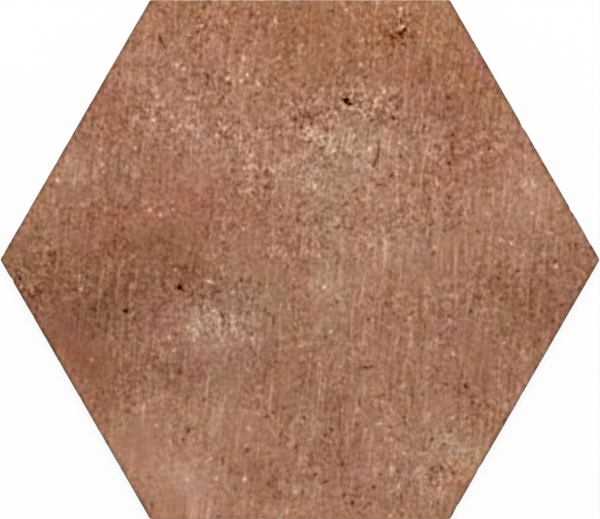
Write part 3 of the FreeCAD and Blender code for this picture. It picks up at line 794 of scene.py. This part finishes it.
def chips_of(flat, height, inset):
    """How far the worn arris has drawn back at each point."""
    chips = np.zeros(len(flat))
    for layer, (cell, level, most) in enumerate(CHIP_LAYERS, 31):
        chips += most * np.clip(noise_at(flat, cell, cell, layer) - level, 0, 1)
    for *place, most in NICKS:
        chips += most * ellipse(flat, *place)
    end, full = CHIP_FADE
    chips *= np.clip((height - THICKNESS + end) / (end - full), 0, 1)
    return chips * np.exp(-(inset / CHIP_REACH) ** 2)


def waves_of(flat, height, inset):
    """How far the wavy sides have drawn back at each point."""
    width, tall, most = SIDE_WAVES
    along = np.stack((flat @ WAVE_SLANT + height, height), -1)
    waves = most * (1 + noise_at(along, width, tall, 33)) / 2
    return waves * np.exp(-(inset / CHIP_REACH) ** 2) * (height > WAVE_FOOT)


def wear(tile, spots, lines):
    """Gives the face its relief, and the arris and the sides their wear. Nothing moves outwards."""
    mesh = tile.data
    places = read_places(mesh)
    flat, height = places[:, :2].copy(), places[:, 2].copy()
    inset, side = sides_of(flat)
    chips = chips_of(flat, height, inset)
    share = np.clip((height - BEVEL_HEIGHT) / (THICKNESS - ARRIS_RADIUS - BEVEL_HEIGHT), 0, 1)
    places[:, :2] -= FACINGS[side] * (chips + waves_of(flat, height, inset))[:, None]
    places[:, 2] -= depth_of(flat, spots, lines) * share + chips * (height > THICKNESS - 1.5 * ARRIS_RADIUS)

    mesh.vertices.foreach_set("co", (places * MM).ravel())
    tone = mesh.attributes.new("tone", "FLOAT_VECTOR", "POINT")
    tone.data.foreach_set("vector", tones(flat, spots + lines).ravel())
    fields = {
        "grain": shares_of(flat, GRAIN_PATCHES),
        "streaks": shares_of(flat, STREAK_PATCHES),
        # The painted shade along the face's edge
        "edge": painted_edge_shade_of(flat),
        "chips": chips,
        "level": height,
    }
    for name, values in fields.items():
        mesh.attributes.new(name, "FLOAT", "POINT").data.foreach_set("value", values)
    mesh.shade_smooth()
    mesh.update()


def read_places(mesh):
    """A mesh's points in mm."""
    places = np.empty(len(mesh.vertices) * 3)
    mesh.vertices.foreach_get("co", places)
    return places.reshape(-1, 3) / MM


def lay_out(tile):
    """The texture map: the face is largest, and the back and the six sides as strips lie above it."""
    mesh = tile.data
    places = read_places(mesh)
    inset, _ = sides_of(places[:, :2])
    corner = np.empty(len(mesh.loops), int)
    mesh.loops.foreach_get("vertex_index", corner)
    sizes = np.empty(len(mesh.polygons), int)
    mesh.polygons.foreach_get("loop_total", sizes)
    starts = np.cumsum(sizes) - sizes

    spot = places[corner]
    on_face = np.minimum.reduceat(spot[:, 2], starts) > THICKNESS - 0.01
    on_back = np.minimum.reduceat(inset[corner], starts) > BEVEL_INSET + SOFTENING - 0.01
    on_back &= ~on_face & (np.maximum.reduceat(spot[:, 2], starts) < BEVEL_HEIGHT)
    _, side = sides_of(np.add.reduceat(spot[:, :2], starts) / sizes[:, None])
    on_face, on_back, side = (np.repeat(values, sizes) for values in (on_face, on_back, side))

    face_unit, back_unit = FACE_SHARE / (2 * SIDE_LENGTH), BACK_SHARE / (2 * APOTHEM)
    out = FACINGS[side]
    along = spot[:, 1] * out[:, 0] - spot[:, 0] * out[:, 1]
    lower = np.where(spot[:, 2] > THICKNESS / 2, -1, 1) * inset[corner]
    down = THICKNESS + ARRIS_RADIUS - spot[:, 2] + lower
    found = np.stack((along * face_unit, side * SIDES_SPACING + down * face_unit), -1) + SIDES_START
    found[on_face] = spot[on_face, :2] * face_unit + FACE_MIDDLE
    found[on_back] = spot[on_back, :2] * (-back_unit, back_unit) + BACK_MIDDLE
    mesh.uv_layers.new(name="OFBake").data.foreach_set("uv", found.ravel())


class Nodes:
    """The nodes of one material or world, each made by a short call."""

    def __init__(self, owner):
        owner.use_nodes = True
        self.tree = owner.node_tree
        self.tree.nodes.clear()

    def add(self, kind, inputs=None, **settings):
        """Adds a node. Each of its inputs is a plain value or another node's output."""
        node = self.tree.nodes.new(kind)
        for name, value in settings.items():
            setattr(node, name, value)
        for name, value in (inputs or {}).items():
            if isinstance(value, bpy.types.NodeSocket):
                self.tree.links.new(value, node.inputs[name])
            else:
                node.inputs[name].default_value = value
        return node

    def math(self, operation, *values):
        return self.add("ShaderNodeMath", dict(enumerate(values)), operation=operation).outputs[0]

    def clamp(self, value):
        return self.add("ShaderNodeClamp", {0: value}).outputs[0]

    def total(self, start, *terms):
        """A start, plus each term times its factor."""
        for value, factor in terms:
            start = self.math("MULTIPLY_ADD", value, factor, start)
        return start

    def mix(self, share, first, second):
        """A number between two numbers."""
        return self.add("ShaderNodeMix", {0: share, 2: first, 3: second}).outputs[0]

    def attribute(self, name, output="Fac"):
        return self.add("ShaderNodeAttribute", attribute_name=name).outputs[output]

    def noise(self, place, width, height, layer, detail=0.0):
        """Smooth noise about 0, whose cells have this width and height in mm."""
        scale = (1 / width, 1 / height, 1 / width)
        shift = (7.3 * layer, 3.1 * layer, 5.7 * layer)
        inputs = {0: place, 1: scale, 2: shift}
        scaled = self.add("ShaderNodeVectorMath", inputs, operation="MULTIPLY_ADD").outputs[0]
        inputs = {"Vector": scaled, "Scale": 1.0, "Detail": detail}
        return self.add("ShaderNodeTexNoise", inputs, normalize=False).outputs[0]

    def above(self, value, level):
        """How far a value is above a level, or 0."""
        return self.math("MAXIMUM", self.math("SUBTRACT", value, level), 0.0)

    def term(self, place, row, layer):
        """The noise of a row, and the row's last number as its factor."""
        width, height, factor = row
        return self.noise(place, width, height, layer), factor

    def layered(self, place, rows, first):
        """The sum of the noises of some rows."""
        return self.total(0.0, *[self.term(place, row, layer) for layer, row in enumerate(rows, first)])

    def peaks(self, place, rows, first):
        """The same for the part of each noise that is above the row's level."""
        terms = []
        for layer, (width, height, level, steps) in enumerate(rows, first):
            terms.append((self.above(self.noise(place, width, height, layer), level), steps))
        return self.total(0.0, *terms)

    def patchy(self, place, row, layer):
        """A share about 1 that varies over the face."""
        return self.math("MAXIMUM", self.total(1.0, self.term(place, row, layer)), LEAST_SHARE)


def face_tones(nodes, place):
    """The lightness, redness and yellowness of the walking face, and the height of its grain in mm."""
    grain = nodes.layered(place, GRAIN_LAYERS, 10)
    spots = nodes.peaks(place, (PITS_IN_GRAIN, FLECKS_IN_GRAIN), 20)
    strength = nodes.math("MULTIPLY", nodes.attribute("grain"), nodes.patchy(place, GRAIN_MASK, 5))
    grain = nodes.math("MULTIPLY", nodes.math("ADD", grain, spots), strength)

    turned = {0: place, "Angle": STREAK_LEAN}
    lean = nodes.add("ShaderNodeVectorRotate", turned, rotation_type="Z_AXIS").outputs[0]
    sway = nodes.math("MULTIPLY", *nodes.term(place, STREAK_WANDER, 7))
    sway = nodes.add("ShaderNodeCombineXYZ", {0: sway}).outputs[0]
    lean = nodes.add("ShaderNodeVectorMath", {0: lean, 1: sway}, operation="ADD").outputs[0]
    streaks = nodes.peaks(lean, PALE_STREAKS + DARK_STREAKS, 30)
    strength = nodes.math("MULTIPLY", nodes.attribute("streaks"), nodes.patchy(place, STREAK_MASK, 6))
    streaks = nodes.math("MULTIPLY", streaks, strength)

    clouds = nodes.add("ShaderNodeSeparateXYZ", {0: nodes.attribute("tone", "Vector")}).outputs
    # The painted shade along the rounded arris, which darkens the face's colour near its edge
    edge = nodes.attribute("edge")
    rows = (
        (FACE_LIGHTNESS, MOTTLE, 40, -PAINTED_EDGE_SHADE_DARKNESS),
        (FACE_REDNESS, REDNESS_MOTTLE, 51, PAINTED_EDGE_SHADE_REDNESS),
        (FACE_YELLOWNESS, YELLOWNESS_MOTTLE, 52, PAINTED_EDGE_SHADE_YELLOWNESS),
    )
    light, red, yellow = (
        nodes.total(usual, (cloud, 1.0), nodes.term(place, mottle, layer), (edge, in_painted_edge_shade))
        for cloud, (usual, mottle, layer, in_painted_edge_shade) in zip(clouds, rows)
    )
    light = nodes.total(light, (grain, 1.0), (streaks, 1.0))
    relief = nodes.total(0.0, (grain, GRAIN_RELIEF), (streaks, GRAIN_RELIEF))
    return light, red, yellow, relief


def body_tones(nodes, place, height):
    """The same for the plain clay of the sides and the back."""
    grog = nodes.above(nodes.noise(place, GROG_SIZE, GROG_SIZE, 65, detail=2.0), GROG_LEVEL)
    grain = nodes.total(nodes.layered(place, BODY_GRAIN, 61), (grog, GROG_LIGHTNESS))
    dust = nodes.clamp(nodes.total(DUST_SHARE, (height, DUST_SLOPE), nodes.term(place, DUST_NOISE, 66)))
    light = nodes.total(BODY_LIGHTNESS, (grain, 1.0), (dust, DUST_TONES[0]))
    red = nodes.total(BODY_REDNESS, (dust, DUST_TONES[1]), nodes.term(place, BODY_REDNESS_MOTTLE, 67))
    yellow = nodes.total(BODY_YELLOWNESS, (dust, DUST_TONES[2]))
    relief = nodes.total(0.0, (grain, GRAIN_RELIEF))
    return light, red, yellow, relief


def display_colour(nodes, light, red, yellow):
    """The linear colour of a lightness, redness and yellowness given in display steps."""
    channels = {}
    for name, (red_share, yellow_share) in CHANNEL_SHARES.items():
        level = nodes.total(light, (red, red_share), (yellow, yellow_share))
        level = nodes.clamp(nodes.math("DIVIDE", level, DISPLAY_STEPS))
        channels[name] = nodes.math("POWER", level, DISPLAY_GAMMA)
    return nodes.add("ShaderNodeCombineColor", channels).outputs[0]


def fired_clay():
    """Fired clay: the mottled walking face, worn through along its arris to the plain body."""
    material = bpy.data.materials.new("fired_clay")
    nodes = Nodes(material)
    place = nodes.add("ShaderNodeTexCoord").outputs["Object"]
    place = nodes.add("ShaderNodeVectorMath", {0: place, "Scale": 1 / MM}, operation="SCALE").outputs[0]
    height = nodes.attribute("level")
    width, tall, rise = SKIN_NOISE
    ragged = nodes.noise(place, width, tall, 71, detail=2.0)
    skin = nodes.total(height, (ragged, rise), (nodes.attribute("chips"), SKIN_LOSS))
    skin = nodes.clamp(nodes.math("MULTIPLY_ADD", skin, SKIN_SHARPNESS, -SKIN_SHARPNESS * SKIN_LEVEL))
    face = face_tones(nodes, place)
    body = body_tones(nodes, place, height)
    light, red, yellow, relief = (nodes.mix(skin, *pair) for pair in zip(body, face))

    light = nodes.math("MAXIMUM", light, PORE_LIGHTNESS)
    start, full = SHINE_RANGE
    shine = nodes.clamp(nodes.math("DIVIDE", nodes.math("SUBTRACT", light, start), full - start))
    roughness = nodes.total(ROUGHNESS, (relief, ROUGHNESS_RELIEF), nodes.term(place, ROUGHNESS_NOISE, 72))
    bump = nodes.add("ShaderNodeBump", {"Distance": MM, "Height": relief})
    surface = nodes.add("ShaderNodeBsdfPrincipled", {
        "Base Color": display_colour(nodes, light, red, yellow),
        "Roughness": nodes.clamp(roughness),
        "Specular IOR Level": nodes.math("MULTIPLY", shine, SHINE),
        "Normal": bump.outputs[0],
    })
    nodes.add("ShaderNodeOutputMaterial", {"Surface": surface.outputs[0]})
    return material


def seen_white(nodes):
    """1 for what the camera, a gloss or a clear body sees, and 0 for what gives light."""
    path = nodes.add("ShaderNodeLightPath").outputs
    seen = nodes.math("MAXIMUM", path["Is Camera Ray"], path["Is Glossy Ray"])
    return nodes.math("MAXIMUM", seen, path["Is Transmission Ray"])


def make_floor():
    """A wide white floor, which keeps the tile's shadow."""
    mesh = bpy.data.meshes.new("floor")
    half = FLOOR_HALF_WIDTH
    corners = ((-half, -half), (half, -half), (half, half), (-half, half))
    mesh.from_pydata([(x, y, FLOOR_LEVEL * MM) for x, y in corners], [], [(0, 1, 2, 3)])
    floor = linked("floor", mesh)
    material = bpy.data.materials.new("floor")
    nodes = Nodes(material)
    paper, shaded = (
        nodes.add("ShaderNodeBsdfDiffuse", {"Color": (grey, grey, grey, 1)}).outputs[0]
        for grey in (FLOOR_COLOUR, SEEN_COLOUR)
    )
    place = nodes.add("ShaderNodeTexCoord").outputs["Object"]
    away = nodes.add("ShaderNodeVectorMath", {0: place}, operation="LENGTH").outputs["Value"]
    away = nodes.math("DIVIDE", away, LAMP_PLACE[2])
    lit = nodes.math("POWER", nodes.math("MULTIPLY_ADD", away, away, 1.0), -2.0)
    strength = nodes.total(FLOOR_GLOW, (lit, NEAR_GLOW))
    glow = nodes.add("ShaderNodeEmission", {"Strength": strength}).outputs[0]
    seen = nodes.add("ShaderNodeAddShader", {0: shaded, 1: glow}).outputs[0]
    either = nodes.add("ShaderNodeMixShader", {0: seen_white(nodes), 1: paper, 2: seen}).outputs[0]
    nodes.add("ShaderNodeOutputMaterial", {"Surface": either})
    mesh.materials.append(material)
    return floor


def make_world():
    """A soft even sky, which the camera sees as white."""
    world = bpy.data.worlds.new("studio")
    bpy.context.scene.world = world
    nodes = Nodes(world)
    strength = nodes.mix(seen_white(nodes), SKY_STRENGTH, 1.0)
    sky = nodes.add("ShaderNodeBackground", {"Color": (1, 1, 1, 1), "Strength": strength})
    nodes.add("ShaderNodeOutputWorld", {"Surface": sky.outputs[0]})


def make_lamp():
    """One wide round lamp overhead, a little beyond the top side."""
    light = bpy.data.lights.new("overhead", "AREA")
    light.shape = "DISK"
    light.size = LAMP_SIZE
    light.energy = LAMP_POWER
    lamp = linked("overhead", light)
    lamp.location = LAMP_PLACE
    lamp.rotation_euler = (-lamp.location).to_track_quat("-Z", "Y").to_euler()


def make_camera():
    """A camera straight above, with a long lens, that the tile's corners just fill."""
    data = bpy.data.cameras.new("camera")
    data.sensor_width = SENSOR_WIDTH
    data.lens = LENS
    data.clip_start = NEAREST_SEEN
    camera = linked("camera", data)
    distance = VIEW_WIDTH * LENS / SENSOR_WIDTH
    camera.location = (0.0, VIEW_RISE * MM, (THICKNESS + distance) * MM)
    bpy.context.scene.camera = camera


bpy.context.scene.view_settings.view_transform = "Standard"
make_camera()
make_world()
make_lamp()
make_floor()

tile = make_tile()
lay_out(tile)
spots, lines = all_marks()
refine(tile, spots + lines)
refine(tile, [mark for mark in spots if abs(mark[-1]) > DEEP_MARK])
wear(tile, spots, lines)
tile.data.materials.append(fired_clay())
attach(tile, "root")
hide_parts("tile")
